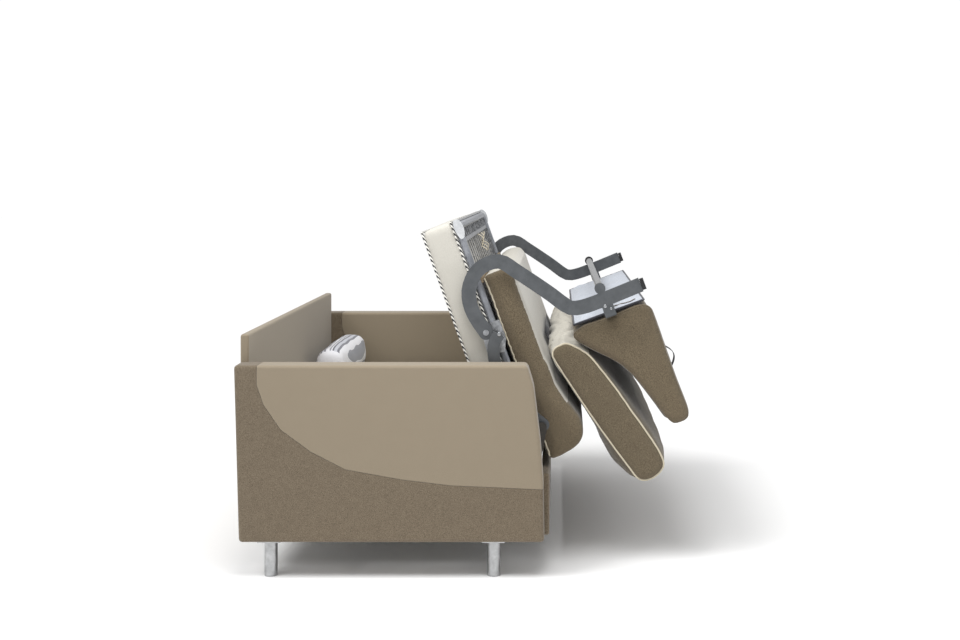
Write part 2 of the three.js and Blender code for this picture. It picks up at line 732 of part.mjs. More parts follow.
function makeCushion() {
  const seat = new THREE.Group();
  seat.position.set(cushionRear, 0, cushionLift);
  seat.rotation.y = -THREE.MathUtils.degToRad(cushionAngle);
  fold.add(seat);
  const outline = smoothClosed(scaledPoints(cushionShares, 0, 0, cushionLength, cushionThickness), 40);
  addPiece(seat, 'seat_cushion', paddedForm(outline, cushionWidth, cushionEdgeRadius, 6),
    'brownFabric');
  addPiece(fold, 'cushion_webbing', block(webbingLength, webbingWidth, webbingThickness),
    'darkWebbing', cushionRear + webbingLength * 0.1, 0,
    cushionLift + webbingRise - webbingThickness / 2 - fit);
}

// Backrest, carried on two bent bars joined by a cross tube
const barCentreShares = [[0.87, 0.033], [0.7, 0.012], [0.47, 0], [0.246, 0.024],
  [0.054, 0.1], [0, 0.182], [0.033, 0.258], [0.24, 0.331], [0.686, 0.474], [0.851, 0.521],
  [0.954, 0.56], [0.992, 0.617], [1, 0.736], [0.979, 1]];
const barStartA = 174;
const barSpanA = 242;
const barStartH = 78;
const backShares = [[0.042, 0.01], [0.007, 0.17], [0.002, 0.424], [0, 0.663], [0, 0.833],
  [0.014, 0.955], [0.052, 0.993], [0.203, 1], [0.649, 1], [0.939, 1], [0.976, 0.976], [1, 0.896],
  [0.995, 0.785], [0.974, 0.74], [0.939, 0.715], [0.8, 0.66], [0.623, 0.576], [0.528, 0.528],
  [0.417, 0.444], [0.335, 0.347], [0.248, 0.22], [0.191, 0.145], [0.1, 0.02]];
const tabA = 438;
const tabH = 503;
const tabDepth = 38;
const flangeThickness = 5;
const flangeReach = 57;
const flangeGap = -2.75;

function makeBackrest() {
  const outline = roundedPoints(scaledPoints(backShares, backRear, backBottom, backLength, backHeight),
    backEdgeRadius / 2, 1);
  addPiece(fold, 'backrest', paddedForm(outline, backWidth, backEdgeRadius, 3), 'brownFabric');
  const cloth = roundedPoints([[backRear - clothThickness - 3 * fit, backBottom + backHeight * 0.1],
    [backRear - 3 * fit, backBottom + backHeight * 0.1],
    [backRear - 3 * fit, backBottom + backHeight * 0.93],
    [backRear - clothThickness - 3 * fit, backBottom + backHeight * 0.93]], clothThickness / 2.2);
  addPiece(fold, 'backrest_dust_cloth', paddedForm(cloth, backWidth * 0.96, clothThickness / 3, 0, [0.5]),
    'dustCloth');
  const centre = scaledPoints(barCentreShares, barStartA, barStartH, barSpanA, footStart - barStartH);
  const ribbon = plateFromShape(ribbonShape(centre, barWidth, 44), barThickness);
  const tabLength = backRear - fit * 2 - tabA;
  const hole = pinHole(studDiameter, barThickness).translate([backPivotA, 0, backPivotH]);
  const cross = rod(crossTubeDiameter, 2 * (barInnerFace - fit), 20);
  const bushes = sides.map(([, sign]) => {
    const bush = rod(bushDiameter, bushLength, 20);
    bush.translate(0, sign * (barInnerFace - fit - bushLength / 2), 0);
    return bush;
  });
  addPiece(fold, 'cross_tube', joined([cross, ...bushes]), 'chrome', crossTubeA, 0, crossTubeH);
  sides.forEach(([side, sign]) => {
    const eye = rod(barWidth, barThickness, 20);
    eye.translate(backPivotA, 0, backPivotH);
    const tab = block(tabLength + barWidth / 2, barThickness, tabDepth);
    tab.translate(tabA + tabLength / 2 - barWidth / 4, 0, tabH);
    const lug = rod(bushDiameter, barThickness, 20);
    lug.translate(crossTubeA, 0, crossTubeH);
    const flange = block(flangeThickness, flangeReach, tabDepth);
    flange.translate(backRear - flangeGap - flangeThickness / 2,
      -sign * (flangeReach) / 2, tabH);
    const whole = [ribbon, eye, tab, lug, flange].map(solidOf).reduce((a, b) => a.add(b));
    addPiece(fold, `back_bar_${side}`, geometryOf(whole.subtract(hole)), 'barPaint', 0,
      sign * barLane);
    const foot = block(footPadDepth, barThickness * 2, footPadLength);
    const slot = block(footPadDepth + overrun, barThickness + 2 * fit, footPadLength);
    slot.translate(0, 0, -footPadLength / 2);
    const pad = solidOf(foot).subtract(solidOf(slot));
    addPiece(fold, `foot_pad_${side}`, geometryOf(pad), 'rubber', barStartA + barSpanA * 0.979,
      sign * barLane, footStart + footPadLength / 2 + fit);
  });
  const strap = block(backLength * 0.28, pullStrapWidth, pullStrapThickness);
  addPiece(fold, 'pull_strap', strap, 'darkWebbing', backRear + backLength * 0.72, 0,
    backBottom + backHeight + pullStrapThickness / 2 + fit);
}

// A plump pillow lying across the bed behind the folded seat
const pillowShares = [[0.04, 0.12], [0.2, 0], [0.5, 0], [0.8, 0], [0.96, 0.12], [1, 0.45],
  [0.94, 0.8], [0.75, 0.97], [0.5, 1], [0.25, 0.97], [0.06, 0.8], [0, 0.45]];

function makePillow() {
  const outline = smoothClosed(scaledPoints(pillowShares, 0, 0, pillowWidth, pillowHeight), 24);
  addPiece(sofa, 'pillow', paddedForm(outline, pillowLength, pillowWidth / 4, 5), 'stripeCloth',
    headRear + seamGap, pillowStart + pillowLength / 2, headTop + fit * 2);
}

makeArms();
makeBody();
makeLegs();
makeBeams();
makePlates();
makeHead();
makeLinks();
makeFoldingBed();
makeStraps();
makeCushion();
makeBackrest();
makePillow();

// The origin is on the floor, under the middle of the whole
const extent = new THREE.Box3().setFromObject(sofa, true);
const middle = extent.getCenter(new THREE.Vector3());
sofa.position.set(-middle.x, -middle.y, -extent.min.z);

export default sofa;
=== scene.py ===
# %% [markdown]
# # A sofa bed, half unfolded
#
# The imported CAD model is the skeleton here. Every hard piece keeps its CAD mesh and gets a
# better surface; every soft piece is built again in cloth, in the same place, and rides on
# the body that carries it. The lesson runs from the camera to the cloth.

import math

import bmesh
import bpy
import numpy as np
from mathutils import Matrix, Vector, noise
from mathutils.bvhtree import BVHTree


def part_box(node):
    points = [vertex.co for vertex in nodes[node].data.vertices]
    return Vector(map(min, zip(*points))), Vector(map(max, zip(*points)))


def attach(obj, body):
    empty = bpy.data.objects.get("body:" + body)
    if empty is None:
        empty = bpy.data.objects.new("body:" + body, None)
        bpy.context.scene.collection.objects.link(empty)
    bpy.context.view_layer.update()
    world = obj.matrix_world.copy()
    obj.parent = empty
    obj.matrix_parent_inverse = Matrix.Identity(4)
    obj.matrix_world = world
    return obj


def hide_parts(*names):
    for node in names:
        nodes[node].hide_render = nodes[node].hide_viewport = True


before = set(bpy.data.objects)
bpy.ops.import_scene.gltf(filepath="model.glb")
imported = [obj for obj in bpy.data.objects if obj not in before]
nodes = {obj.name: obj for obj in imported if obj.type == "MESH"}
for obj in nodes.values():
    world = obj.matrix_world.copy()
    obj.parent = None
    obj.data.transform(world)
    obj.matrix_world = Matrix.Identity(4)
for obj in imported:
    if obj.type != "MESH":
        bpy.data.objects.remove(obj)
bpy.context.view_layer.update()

# %% [markdown]
# ## The camera
#
# The photograph is taken square on to the near arm, a little above it, and cropped off
# centre. Two shifts give the crop without tilting the camera, so uprights stay upright.

# %% Set the camera
camera_data = bpy.data.cameras.new("camera")
camera = bpy.data.objects.new("camera", camera_data)
bpy.context.scene.collection.objects.link(camera)
camera.location = (0.297, -4.95, 1.28)
camera.rotation_euler = (math.pi / 2, 0, 0)
camera_data.lens = 47.9
camera_data.sensor_width = 36
camera_data.shift_x = -0.0802
camera_data.shift_y = -0.1458
camera_data.clip_start = 0.1
camera_data.clip_end = 80
bpy.context.scene.camera = camera
print("camera at", tuple(round(v, 3) for v in camera.location))

# %% [markdown]
# ## Surfaces
#
# Two shared effects carry most of the looks. "Heather" gives cloth its mixed yarns and the
# small bumps of the weave; "Wear" breaks up paint and metal. Each is a group with its own
# inputs, so one change reaches every cloth.


# %% Build the shared effects
def linear(code):
    """A colour written as six hex digits, in linear light."""
    values = [int(code[i : i + 2], 16) / 255 for i in (0, 2, 4)]
    return tuple(v / 12.92 if v <= 0.04045 else ((v + 0.055) / 1.055) ** 2.4 for v in values) + (1,)


def add(tree, kind, **inputs):
    node = tree.nodes.new(kind)
    for name, value in inputs.items():
        node.inputs[name.replace("_", " ")].default_value = value
    return node


def math_node(tree, operation, a, b=None):
    node = tree.nodes.new("ShaderNodeMath")
    node.operation = operation
    for socket, value in zip(node.inputs, (a, b)):
        if value is None:
            continue
        if isinstance(value, (int, float)):
            socket.default_value = value
        else:
            tree.links.new(value, socket)
    return node.outputs[0]


def heather_group():
    """Mixed yarns: how light each yarn is, and how high the weave stands."""
    group = bpy.data.node_groups.new("Heather", "ShaderNodeTree")
    face = group.interface
    face.new_socket(name="Threads", in_out="INPUT", socket_type="NodeSocketFloat")
    face.new_socket(name="Yarn", in_out="OUTPUT", socket_type="NodeSocketFloat")
    face.new_socket(name="Height", in_out="OUTPUT", socket_type="NodeSocketFloat")
    inside = group.nodes.new("NodeGroupInput")
    outside = group.nodes.new("NodeGroupOutput")
    place = group.nodes.new("ShaderNodeTexCoord")
    fine = add(group, "ShaderNodeTexNoise", Detail=3.0, Roughness=0.7)
    broad = add(group, "ShaderNodeTexNoise", Scale=26.0, Detail=2.0)
    group.links.new(place.outputs["Object"], fine.inputs["Vector"])
    group.links.new(place.outputs["Object"], broad.inputs["Vector"])
    group.links.new(inside.outputs["Threads"], fine.inputs["Scale"])
    cells = add(group, "ShaderNodeTexVoronoi")
    group.links.new(place.outputs["Object"], cells.inputs["Vector"])
    group.links.new(inside.outputs["Threads"], cells.inputs["Scale"])
    spread = add(group, "ShaderNodeMapRange", From_Min=0.3, From_Max=0.7)
    group.links.new(fine.outputs["Fac"], spread.inputs["Value"])
    tone = math_node(group, "MULTIPLY", broad.outputs["Fac"], 0.12)
    yarn = math_node(group, "ADD", spread.outputs["Result"], tone)
    group.links.new(math_node(group, "SUBTRACT", yarn, 0.06), outside.inputs["Yarn"])
    bumps = math_node(group, "SUBTRACT", 1.0, cells.outputs["Distance"])
    height = math_node(group, "MULTIPLY", bumps, fine.outputs["Fac"])
    group.links.new(height, outside.inputs["Height"])
    return group


def wear_group():
    """Slow clouding for paint and metal: shade, and a change in roughness."""
    group = bpy.data.node_groups.new("Wear", "ShaderNodeTree")
    face = group.interface
    face.new_socket(name="Size", in_out="INPUT", socket_type="NodeSocketFloat")
    face.new_socket(name="Shade", in_out="OUTPUT", socket_type="NodeSocketFloat")
    face.new_socket(name="Rough", in_out="OUTPUT", socket_type="NodeSocketFloat")
    inside = group.nodes.new("NodeGroupInput")
    outside = group.nodes.new("NodeGroupOutput")
    place = group.nodes.new("ShaderNodeTexCoord")
    cloud = add(group, "ShaderNodeTexNoise", Detail=5.0, Roughness=0.6)
    group.links.new(place.outputs["Object"], cloud.inputs["Vector"])
    group.links.new(inside.outputs["Size"], cloud.inputs["Scale"])
    shade = add(group, "ShaderNodeMapRange", From_Min=0.35, From_Max=0.65)
    group.links.new(cloud.outputs["Fac"], shade.inputs["Value"])
    rough = add(group, "ShaderNodeMapRange", To_Min=-0.08, To_Max=0.08)
    group.links.new(cloud.outputs["Fac"], rough.inputs["Value"])
    group.links.new(shade.outputs["Result"], outside.inputs["Shade"])
    group.links.new(rough.outputs["Result"], outside.inputs["Rough"])
    return group


heather = heather_group()
wear = wear_group()
print("shared effects:", heather.name, "and", wear.name)


# %% Make the cloth and the hard surfaces
def blank(name):
    material = bpy.data.materials.new(name)
    material.use_nodes = True
    tree = material.node_tree
    return material, tree, tree.nodes["Principled BSDF"]


def mixed(tree, factor, dark, light):
    ramp = tree.nodes.new("ShaderNodeValToRGB")
    ramp.color_ramp.elements[0].color = dark
    ramp.color_ramp.elements[1].color = light
    tree.links.new(factor, ramp.inputs["Fac"])
    return ramp.outputs["Color"]


def bumped(tree, shader, height, strength, distance):
    bump = add(tree, "ShaderNodeBump", Strength=strength, Distance=distance)
    tree.links.new(height, bump.inputs["Height"])
    tree.links.new(bump.outputs["Normal"], shader.inputs["Normal"])


def cloth(name, dark, light, threads=620.0, bump=0.5, sheen=0.25, rough=0.92):
    material, tree, shader = blank(name)
    weave = tree.nodes.new("ShaderNodeGroup")
    weave.node_tree = heather
    weave.inputs["Threads"].default_value = threads
    colour = mixed(tree, weave.outputs["Yarn"], linear(dark), linear(light))
    tree.links.new(colour, shader.inputs["Base Color"])
    shader.inputs["Roughness"].default_value = rough
    shader.inputs["Sheen Weight"].default_value = sheen
    shader.inputs["Specular IOR Level"].default_value = 0.2
    bumped(tree, shader, weave.outputs["Height"], bump, 0.0012)
    return material


def hard(name, dark, light, metallic, rough, size=30.0, coat=0.0, grain=0.0):
    material, tree, shader = blank(name)
    cloud = tree.nodes.new("ShaderNodeGroup")
    cloud.node_tree = wear
    cloud.inputs["Size"].default_value = size
    colour = mixed(tree, cloud.outputs["Shade"], linear(dark), linear(light))
    tree.links.new(colour, shader.inputs["Base Color"])
    roughness = math_node(tree, "ADD", cloud.outputs["Rough"], rough)
    tree.links.new(roughness, shader.inputs["Roughness"])
    shader.inputs["Metallic"].default_value = metallic
    shader.inputs["Coat Weight"].default_value = coat
    if grain:
        speckle = add(tree, "ShaderNodeTexNoise", Scale=grain, Detail=2.0)
        bumped(tree, shader, speckle.outputs["Fac"], 0.25, 0.0004)
    return material


def striped(name, axis, pitch, colours):
    """Cloth in bands along one direction: a pillow's stripes or a two-tone piping."""
    material, tree, shader = blank(name)
    place = tree.nodes.new("ShaderNodeTexCoord")
    along = tree.nodes.new("ShaderNodeVectorMath")
    along.operation = "DOT_PRODUCT"
    along.inputs[1].default_value = axis
    tree.links.new(place.outputs["Object"], along.inputs[0])
    turns = math_node(tree, "FRACT", math_node(tree, "DIVIDE", along.outputs["Value"], pitch))
    ramp = tree.nodes.new("ShaderNodeValToRGB")
    ramp.color_ramp.interpolation = "CONSTANT"
    steps = ramp.color_ramp.elements
    steps[0].position, steps[0].color = colours[0][0], linear(colours[0][1])
    steps[1].position, steps[1].color = colours[1][0], linear(colours[1][1])
    for position, code in colours[2:]:
        steps.new(position).color = linear(code)
    tree.links.new(turns, ramp.inputs["Fac"])
    tree.links.new(ramp.outputs["Color"], shader.inputs["Base Color"])
    weave = tree.nodes.new("ShaderNodeGroup")
    weave.node_tree = heather
    weave.inputs["Threads"].default_value = 900.0
    bumped(tree, shader, weave.outputs["Height"], 0.35, 0.0008)
    shader.inputs["Roughness"].default_value = 0.75
    shader.inputs["Sheen Weight"].default_value = 0.2
    return material


taupe = cloth("taupe_weave", "453b2f", "8b7e6b", threads=480.0)
beige = cloth("beige_weave", "7f7463", "988c79", threads=900.0, bump=0.25)
brown = cloth("brown_weave", "40372b", "80735d", threads=480.0)
# The cushion's cloth is the brown cloth made a little darker: painted shade.
brown_painted_shade = cloth("brown_weave_painted_shade", "40372b", "7c705b", threads=480.0)
cream = cloth("cream_ticking", "aeaba2", "c8c5bd", threads=800.0, bump=0.3)
lining = cloth("cream_lining", "b0aca2", "c9c5ba", threads=700.0, bump=0.35)
dust = cloth("dust_cloth", "989ea9", "bfc4cc", threads=500.0, bump=0.3, sheen=0.35, rough=0.75)
pipe_cream = cloth("cream_piping", "b5ab94", "d6cdb8", threads=1200.0, bump=0.3)
pipe_dark = cloth("dark_piping", "2c2c30", "4b4b52", threads=1200.0, bump=0.3)
webbing = cloth("dark_webbing", "26262a", "47474c", threads=1400.0, bump=0.5)
strap_cloth = cloth("strap_cloth", "b3a992", "d8cfba", threads=1200.0, bump=0.4)
elastic = cloth("brown_elastic", "54493c", "75685a", threads=1400.0, bump=0.4)
pillow_cloth = striped(
    "striped_satin",
    (1, 0, 0.35),
    0.052,
    [
        (0, "e9e9ee"),
        (0.3, "8d8f97"),
        (0.42, "e4e4ea"),
        (0.52, "5f6068"),
        (0.64, "c4c6ce"),
        (0.86, "75767f"),
    ],
)
pillow_end = cloth("white_satin", "dddde3", "f2f2f6", threads=900.0, bump=0.2, sheen=0.4)
bar_paint = hard("bar_paint", "4b4e51", "575a5d", 0.25, 0.45, coat=0.1, grain=1500.0)
tube_paint = hard("tube_paint", "7d8086", "9c9fa5", 0.4, 0.4, grain=1500.0)
# The mechanism plates: dark paint like the bars, made darker and warmer still as painted shade for
# the shadow between arm and block.
plate_paint_and_shade = hard("plate_paint_and_shade", "2f2c29", "403c37", 0.2, 0.55, grain=1500.0)
zinc = hard("zinc_plate", "8f9194", "c0c2c5", 0.9, 0.34, size=60.0, grain=2200.0)
net_steel = hard("net_steel", "6e7074", "aeb0b4", 0.85, 0.38, size=90.0)
satin_chrome = hard("satin_chrome", "9c9d9e", "b8b9ba", 1.0, 0.3, size=40.0)
black_rubber = hard("black_rubber", "111112", "262628", 0.0, 0.75, size=80.0, grain=1800.0)
white_plastic = hard("white_plastic", "a7a9ac", "c6c8ca", 0.0, 0.45, grain=1400.0)
timber = hard("planed_timber", "8a785f", "a8967b", 0.0, 0.6, size=14.0, grain=500.0)
print("surfaces:", len(bpy.data.materials))

# %% [markdown]
# ## Hard pieces keep their CAD meshes
#
# The frames, bars, links and pins are already the right shape. They only trade the plain
# colours of the model for paint, zinc, chrome and rubber; the mechanism plates' dark paint
# also holds painted shade.


# %% Give every CAD node its surface
def surface(names, material):
    for name in names:
        mesh = nodes[name].data
        mesh.materials.clear()
        mesh.materials.append(material)


def pair(*names):
    return [f"{name}_{side}" for name in names for side in ("right", "left")]


surface(pair("leg_rear", "leg_front"), satin_chrome)
surface(["cross_beam_rear", "cross_beam_front", "seat_frame", "head_frame"], tube_paint)
surface(pair("fold_bracket", "head_link_rear", "head_link_front"), zinc)
# the plates' dark colour is partly their paint and partly painted shade
surface(pair("mechanism_plate"), plate_paint_and_shade)
surface(pair("head_ear_rear", "head_ear_front", "pivot_pin", "link_pin_rear"), zinc)
surface(pair("link_pin_front", "head_pin", "back_stud"), zinc)
surface(pair("swing_arm", "back_bar"), bar_paint)
surface(["seat_net", "head_net"], net_steel)
surface(["mattress_retainer", "cross_tube"], satin_chrome)
surface(pair("foot_pad"), black_rubber)
surface(pair("frame_end_cap"), white_plastic)
surface(["seat_bearer_rear", "seat_bearer_front"], timber)
print("hard pieces resurfaced")


# %% Colour the two bushes on the cross tube
BUSH_START_Y = 0.7145  # the bushes are what lies further out than this
bush_mesh = nodes["cross_tube"].data
bush_mesh.materials.append(black_rubber)
for face in bush_mesh.polygons:
    if abs(face.center.y) > BUSH_START_Y:
        face.material_index = 1
print("bushes coloured")

# %% [markdown]
# ## Places in the folding part
#
# The folding bed stands at about seventy degrees. Its own two directions are a, along the
# bed from the raised end, and h, away from the mattress face. Everything sewn on it is
# placed in a and h and turned into the row frame here.

# %% Turn fold places into row places
TILT = math.radians(70.06)
ALONG = Vector((math.cos(TILT), 0, -math.sin(TILT)))
AWAY = Vector((math.sin(TILT), 0, math.cos(TILT)))
FOLD_ORIGIN = Vector((-0.158917, 0, 1.1069))
ACROSS = Vector((0, 1, 0))
BED_SIDE = 700  # from the middle of the bed to its side, in millimetres


def fold(a, h, y=0.0):
    """A row-frame point from a, h and y in millimetres."""
    return FOLD_ORIGIN + ALONG * (a / 1000) + AWAY * (h / 1000) + Vector((0, y / 1000, 0))


print("fold origin", tuple(round(v, 3) for v in fold(0, 0)))


# %% Copy, remesh and cover a soft node
def linked(mesh_or_curve, name):
    thing = bpy.data.objects.new(name, mesh_or_curve)
    bpy.context.scene.collection.objects.link(thing)
    return thing


def apply_modifiers(thing):
    bpy.context.view_layer.objects.active = thing
    for other in bpy.context.selected_objects:
        other.select_set(False)
    thing.select_set(True)
    for modifier in list(thing.modifiers):
        bpy.ops.object.modifier_apply(modifier=modifier.name)


def soft_copy(node, name, voxel):
    """A fine, even skin over a CAD soft solid, as a new object."""
    thing = linked(nodes[node].data.copy(), name)
    thing.data.materials.clear()
    remesh = thing.modifiers.new("remesh", "REMESH")
    remesh.mode = "VOXEL"
    remesh.voxel_size = voxel
    smooth = thing.modifiers.new("smooth", "SMOOTH")
    smooth.factor = 0.5
    smooth.iterations = 4
    apply_modifiers(thing)
    for face in thing.data.polygons:
        face.use_smooth = True
    return thing


def points_of(thing):
    values = np.empty(len(thing.data.vertices) * 3, np.float32)
    thing.data.vertices.foreach_get("co", values)
    return values.reshape(-1, 3).astype(float)


def normals_of(thing):
    values = np.empty(len(thing.data.vertices) * 3, np.float32)
    thing.data.vertices.foreach_get("normal", values)
    return values.reshape(-1, 3).astype(float)


def set_points(thing, points):
    thing.data.vertices.foreach_set("co", points.astype(np.float32).ravel())
    thing.data.update()


def puff(thing, cap, pressure=4.0, frames=16):
    """Blows a pad up a little with cloth pressure, and limits how far any point moves."""
    before = points_of(thing)
    modifier = thing.modifiers.new("cloth", "CLOTH")
    settings = modifier.settings
    settings.use_pressure = True
    settings.uniform_pressure_force = pressure
    settings.effector_weights.gravity = 0
    settings.quality = 4
    settings.tension_stiffness = 12
    settings.compression_stiffness = 12
    scene = bpy.context.scene
    for step in range(1, frames + 1):
        scene.frame_set(step)
    graph = bpy.context.evaluated_depsgraph_get()
    shape = thing.evaluated_get(graph)
    after = np.array([v.co for v in shape.data.vertices], float)
    thing.modifiers.remove(modifier)
    scene.frame_set(1)
    moved = after - before
    length = np.linalg.norm(moved, axis=1, keepdims=True)
    limit = np.minimum(1, cap / np.maximum(length, 1e-9))
    set_points(thing, before + np.nan_to_num(moved * limit))


def ripple(points, scale, seed):
    """Smooth values between -1 and 1, the same on each run."""
    out = np.empty(len(points))
    for i, p in enumerate(points):
        out[i] = noise.noise(Vector((p[0] * scale[0], p[1] * scale[1], p[2] * scale[2] + seed)))
    return out


def crease(thing, scale, depth, seed):
    """Soft dents and folds, along the normals."""
    points, normals = points_of(thing), normals_of(thing)
    wave = ripple(points, scale, seed)
    set_points(thing, points + normals * (wave * depth)[:, None])


def finish_soft(thing, body, node, material):
    if not thing.data.materials:
        thing.data.materials.append(material)
    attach(thing, body)
    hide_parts(node)


def tube(name, paths, radius, material, body, closed=False):
    """Round cord or piping along one or more lines of row-frame points."""
    data = bpy.data.curves.new(name, "CURVE")
    data.dimensions = "3D"
    data.bevel_depth = radius
    data.bevel_resolution = 3
    data.use_fill_caps = True
    for path in paths:
        spline = data.splines.new("POLY")
        spline.points.add(len(path) - 1)
        for point, place in zip(spline.points, path):
            point.co = (*place, 1)
        spline.use_cyclic_u = closed
    thing = linked(data, name)
    data.materials.append(material)
    for spline in data.splines:
        spline.use_smooth = True
    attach(thing, body)


def pinned(path, thing, lift=0.0):
    """The same line, moved on to the nearest place of a soft piece's skin."""
    places = [v.co.copy() for v in thing.data.vertices]
    tree = BVHTree.FromPolygons(places, [tuple(f.vertices) for f in thing.data.polygons])
    out = []
    for place in path:
        found, normal, _, _ = tree.find_nearest(Vector(place))
        out.append(found + normal * lift)
    return out


def smoothed(points, steps=5):
    """A closed line through the points, rounded as a spline would be."""
    out, n = [], len(points)
    for i in range(n):
        p = [Vector(points[(i + k) % n]) for k in (-1, 0, 1, 2)]
        for s in range(steps):
            t = s / steps
            out.append(
                0.5
                * (
                    2 * p[1]
                    + (p[2] - p[0]) * t
                    + (2 * p[0] - 5 * p[1] + 4 * p[2] - p[3]) * t * t
                    + (3 * p[1] - p[0] - 3 * p[2] + p[3]) * t**3
                )
            )
    return out


print("tools for cloth are ready")

# %% [markdown]
# ## Arms and panels
#
# These are tight covers over board, so they stay crisp: the flat faces are cleaned and
# their edges rounded by about two millimetres.


# %% Cover the arms, the rear panel and the front strip
def tight_cover(node, name, material, edge):
    """A board's cover: the CAD faces cleaned and their edges rounded by edge."""
    thing = linked(nodes[node].data.copy(), name)
    thing.data.materials.clear()
    thing.data.materials.append(material)
    shape = bmesh.new()
    shape.from_mesh(thing.data)
    bmesh.ops.remove_doubles(shape, verts=shape.verts, dist=0.00002)
    nearly_flat = math.radians(1)
    bmesh.ops.dissolve_limit(
        shape, angle_limit=nearly_flat, verts=shape.verts, edges=shape.edges
    )
    shape.to_mesh(thing.data)
    shape.free()
    bevel = thing.modifiers.new("bevel", "BEVEL")
    bevel.width = edge
    bevel.segments = 3
    bevel.limit_method = "ANGLE"
    bevel.angle_limit = math.radians(38)
    bevel.harden_normals = False
    for face in thing.data.polygons:
        face.use_smooth = True
    weighted = thing.modifiers.new("normals", "WEIGHTED_NORMAL")
    weighted.weight = 60
    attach(thing, "base")
    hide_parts(node)


for side in ("right", "left"):
    tight_cover(f"arm_cover_{side}", f"cloth_arm_{side}", taupe, 0.0022)
    tight_cover(f"arm_inlay_{side}", f"cloth_inlay_{side}", beige, 0.0022)
tight_cover("rear_panel", "cloth_rear_panel", beige, 0.002)
tight_cover("front_fascia", "cloth_front_strip", taupe, 0.002)
print("arms and panels covered")

# %% [markdown]
# ## Mattress slabs
#
# Both slabs are foam in pale ticking. Their long edges carry a piping of black and white
# twist, which is what draws the two dotted lines in the photograph.

# %% Cover the slabs and lay the twist along their edges
twist = striped("twist_piping", (0.6, 1.0, 0.8), 0.0105, [(0, "26272c"), (0.5, "e8e6df")])
for node, name, body, seed in (
    ("seat_mattress", "ticking_folding", "folding_bed", 3.0),
    ("head_mattress", "ticking_head", "head_section", 7.0),
):
    slab = soft_copy(node, name, 0.010)
    crease(slab, (5, 4, 5), 0.0022, seed)
    crease(slab, (22, 16, 22), 0.0007, seed + 4)
    finish_soft(slab, body, node, cream)

TWIST_RADIUS = 0.0042
ACROSS_STEPS = range(-BED_SIDE, BED_SIDE + 1, 20)
edges = []
for h in (5, 107):
    for y in (-BED_SIDE, BED_SIDE):
        edges.append([fold(a, h, y) for a in range(6, 722, 12)])
    for a in (5, 719):
        edges.append([fold(a, h, y) for y in ACROSS_STEPS])
tube("twist_folding", edges, TWIST_RADIUS, twist, "folding_bed")
head_low, head_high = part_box("head_mattress")
TWIST_INSET = 0.006
near_x, far_x = head_low.x + TWIST_INSET, head_high.x - TWIST_INSET
side_y = BED_SIDE / 1000
edges = []
for z in (head_low.z + TWIST_INSET, head_high.z - TWIST_INSET):
    for y in (-side_y, side_y):
        edges.append([Vector((x, y, z)) for x in np.linspace(near_x, far_x, 60)])
    for x in (near_x, far_x):
        edges.append([Vector((x, y, z)) for y in np.linspace(-side_y, side_y, 70)])
tube("twist_head", edges, TWIST_RADIUS, twist, "head_section")
print("slabs and their twist")

# %% [markdown]
# ## Seat block
#
# Brown cloth on both sides, under the bed face and over the nose; a pale lining on the
# side that the cushion hides in use.

# %% Cover the seat block
SEAM_Y = 0.69  # cloths change over just inside the side faces
LINING_END = 0.7  # along the bed, where the lining gives way to the nose
block = soft_copy("seat_block", "cloth_seat_block", 0.009)
block.data.materials.append(brown)
block.data.materials.append(lining)
for face in block.data.polygons:
    centre, normal = face.center - FOLD_ORIGIN, face.normal
    along = centre.dot(ALONG)
    upward = normal.dot(AWAY)
    hidden_side = upward > 0.2 and along < LINING_END
    if abs(centre.y) < SEAM_Y and (hidden_side or normal.dot(ALONG) < -0.5):
        face.material_index = 1
puff(block, 0.004, pressure=3.0, frames=10)
crease(block, (7, 5, 7), 0.0022, 11.0)
finish_soft(block, "folding_bed", "seat_block", brown)
seams = [[fold(a, 145, y) for a in range(212, 858, 10)] for y in (-697, 697)]
seams = [pinned(seam, block, 0.0012) for seam in seams]
tube("piping_seat_block", seams, 0.0028, pipe_cream, "folding_bed")
print("seat block covered")

# %% [markdown]
# ## Seat cushion
#
# The cushion is boxed: two faces joined by a side band with cream piping on both its
# edges. Its rear face is pale and gathered.

# %% Cover the seat cushion and pipe its edges
CUSHION_TILT = math.radians(15.2)
CUSHION_LONG, CUSHION_THICK = 561, 128
CUSHION_SHARES = [(0.03, 0), (0.18, -0.03), (0.4, -0.05), (0.62, -0.05), (0.86, -0.01)]
CUSHION_SHARES += [(0.955, 0.02), (0.995, 0.25), (1, 0.56), (0.985, 0.8), (0.94, 0.93)]
CUSHION_SHARES += [(0.8, 1), (0.6, 1.02), (0.41, 1.01), (0.25, 0.98), (0.146, 0.9)]
CUSHION_SHARES += [(0.045, 0.7), (0.005, 0.5), (0, 0.18)]
DOME_RISE, BELLY_RISE = 0.012, 0.02
REAR_END = 92  # the pale rear end, in millimetres along the cushion


def cushion_place(u, v, y=0.0):
    """u and v in millimetres, along and through the cushion."""
    a = 517 + u * math.cos(CUSHION_TILT) - v * math.sin(CUSHION_TILT)
    h = 255.6 + u * math.sin(CUSHION_TILT) + v * math.cos(CUSHION_TILT)
    return fold(a, h, y)


cushion = soft_copy("seat_cushion", "cloth_seat_cushion", 0.009)
home = np.array(cushion_place(0, 0))
lengthwise = np.array(cushion_place(1, 0)) - home
through = np.array(cushion_place(0, 1)) - home


def reach_along(points):
    """Millimetres along the cushion from its rear end."""
    return (points - home) @ lengthwise / (lengthwise @ lengthwise)
